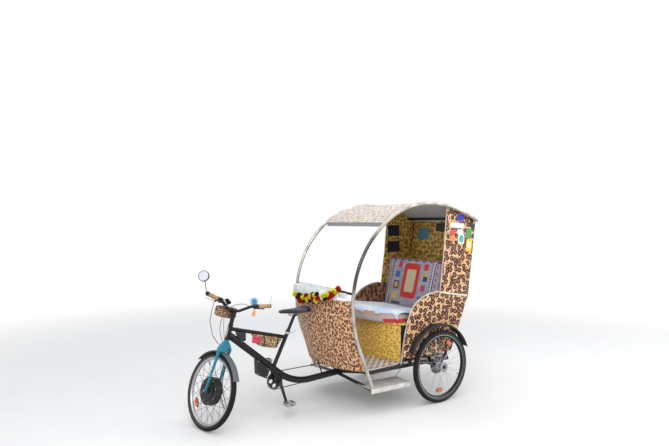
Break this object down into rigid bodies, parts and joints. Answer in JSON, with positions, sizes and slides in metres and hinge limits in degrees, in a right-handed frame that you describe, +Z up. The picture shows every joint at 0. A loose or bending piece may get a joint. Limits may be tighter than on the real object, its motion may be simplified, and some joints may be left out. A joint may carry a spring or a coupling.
{
  "type": "cycle rickshaw",
  "caption": "Pedal rickshaw with one steered front wheel, a long low frame and a hooped two-seat cabin with curved roof between two rear wheels.",
  "frame": {"origin": "on the ground, under the middle of the overall length and width", "axes": "+X forward along the rickshaw, +Y to the rider's left, +Z up"},
  "size_m": [2.6577, 1.1466, 1.845],
  "materials": {
    "black_paint": "satin black paint",
    "steel": "bright steel",
    "dark_steel": "dark oiled steel",
    "saddle_skin": "grained vinyl",
    "bare_tube": "worn bare tube",
    "roof_sheet": "faded spotted cloth over grey sheet",
    "print_board": "spotted cloth on board",
    "gold_print": "yellow spotted cloth",
    "white_plastic": "matt white",
    "checker_plate": "worn tread plate",
    "cushion_cloth": "pale blue cloth",
    "blanket_cloth": "knitted blanket",
    "black_plastic": "matt black",
    "black_rim": "black rim with bare edge",
    "silver_rim": "silver rim",
    "motor_shell": "black casting",
    "teal_paint": "teal gloss",
    "cork_grip": "brown grip",
    "bag_cloth": "spotted cloth",
    "red_cloth": "red cloth",
    "black_cloth": "black cloth",
    "black_rubber": "cable sleeve",
    "tyre": "rubber"
  },
  "bodies": {
    "frame": {"apron": "print_board", "apron_strut": "black_paint", "arm_rail_left": "bare_tube", "arm_rail_right": "bare_tube", "axle_nuts": "steel", "back_cushion": "blanket_cloth", "back_panel": "print_board", "chain": "dark_steel", "controller": "black_plastic", "cross_bars": "black_paint", "floor_plate": "checker_plate", "frame_bag": "bag_cloth", "front_frame": "black_paint", "head_bag": "black_cloth", "hoop_left": "bare_tube", "hoop_right": "bare_tube", "rear_frame": "black_paint", "rear_mudguard_left": "black_plastic", "rear_mudguard_right": "black_plastic", "rear_sprocket": "dark_steel", "red_pouch": "red_cloth", "roof": "roof_sheet", "saddle": "saddle_skin", "seat_back": "gold_print", "seat_board": "gold_print", "seat_cushion": "cushion_cloth", "seat_front": "gold_print", "seat_post": "black_paint", "seat_posts": "black_paint", "side_wall_left": "print_board", "side_wall_right": "print_board", "step_left": "checker_plate", "step_right": "checker_plate", "tray": "white_plastic"},
    "steering": {"fork": "teal_paint", "front_axle": "steel", "front_mudguard": "black_plastic", "stem": "black_paint", "handlebar": "black_paint", "grips": "cork_grip", "brake_levers": "black_plastic", "mirror": "black_plastic", "bar_bag": "bag_cloth", "brake_cable": "black_rubber"},
    "front_wheel": {"front_tyre": "tyre", "front_rim": "silver_rim", "front_motor": "motor_shell"},
    "rear_wheel_left": {"rear_tyre_left": "tyre", "rear_rim_left": "black_rim", "rear_hub_left": "steel"},
    "rear_wheel_right": {"rear_tyre_right": "tyre", "rear_rim_right": "black_rim", "rear_hub_right": "steel"},
    "crank": {"crankset": "dark_steel"},
    "pedal_left": {"pedal_left": "steel"},
    "pedal_right": {"pedal_right": "steel"}
  },
  "joints": [
    {"name": "steering", "type": "hinge", "parent": "frame", "child": "steering", "pos_m": [1.05576, 0, 0.80196], "axis": [-0.2639, 0, 0.9646], "range_deg": [-4, 156]},
    {"name": "front_wheel_spin", "type": "hinge", "parent": "steering", "child": "front_wheel", "pos_m": [1.20314, -0.02911, 0.29073], "axis": [0.9359, 0.2419, 0.256], "continuous": true},
    {"name": "rear_wheel_left_spin", "type": "hinge", "parent": "frame", "child": "rear_wheel_left", "pos_m": [-0.78685, 0.52, 0.33], "axis": [0, 1, 0], "continuous": true},
    {"name": "rear_wheel_right_spin", "type": "hinge", "parent": "frame", "child": "rear_wheel_right", "pos_m": [-0.78685, -0.52, 0.33], "axis": [0, 1, 0], "continuous": true},
    {"name": "crank_spin", "type": "hinge", "parent": "frame", "child": "crank", "pos_m": [0.62615, 0, 0.279], "axis": [0, 1, 0], "continuous": true},
    {"name": "pedal_left_spin", "type": "hinge", "parent": "crank", "child": "pedal_left", "pos_m": [0.57157, 0.07, 0.11589], "axis": [0, 1, 0], "continuous": true},
    {"name": "pedal_right_spin", "type": "hinge", "parent": "crank", "child": "pedal_right", "pos_m": [0.68073, -0.07, 0.44211], "axis": [0, 1, 0], "continuous": true}
  ]
}
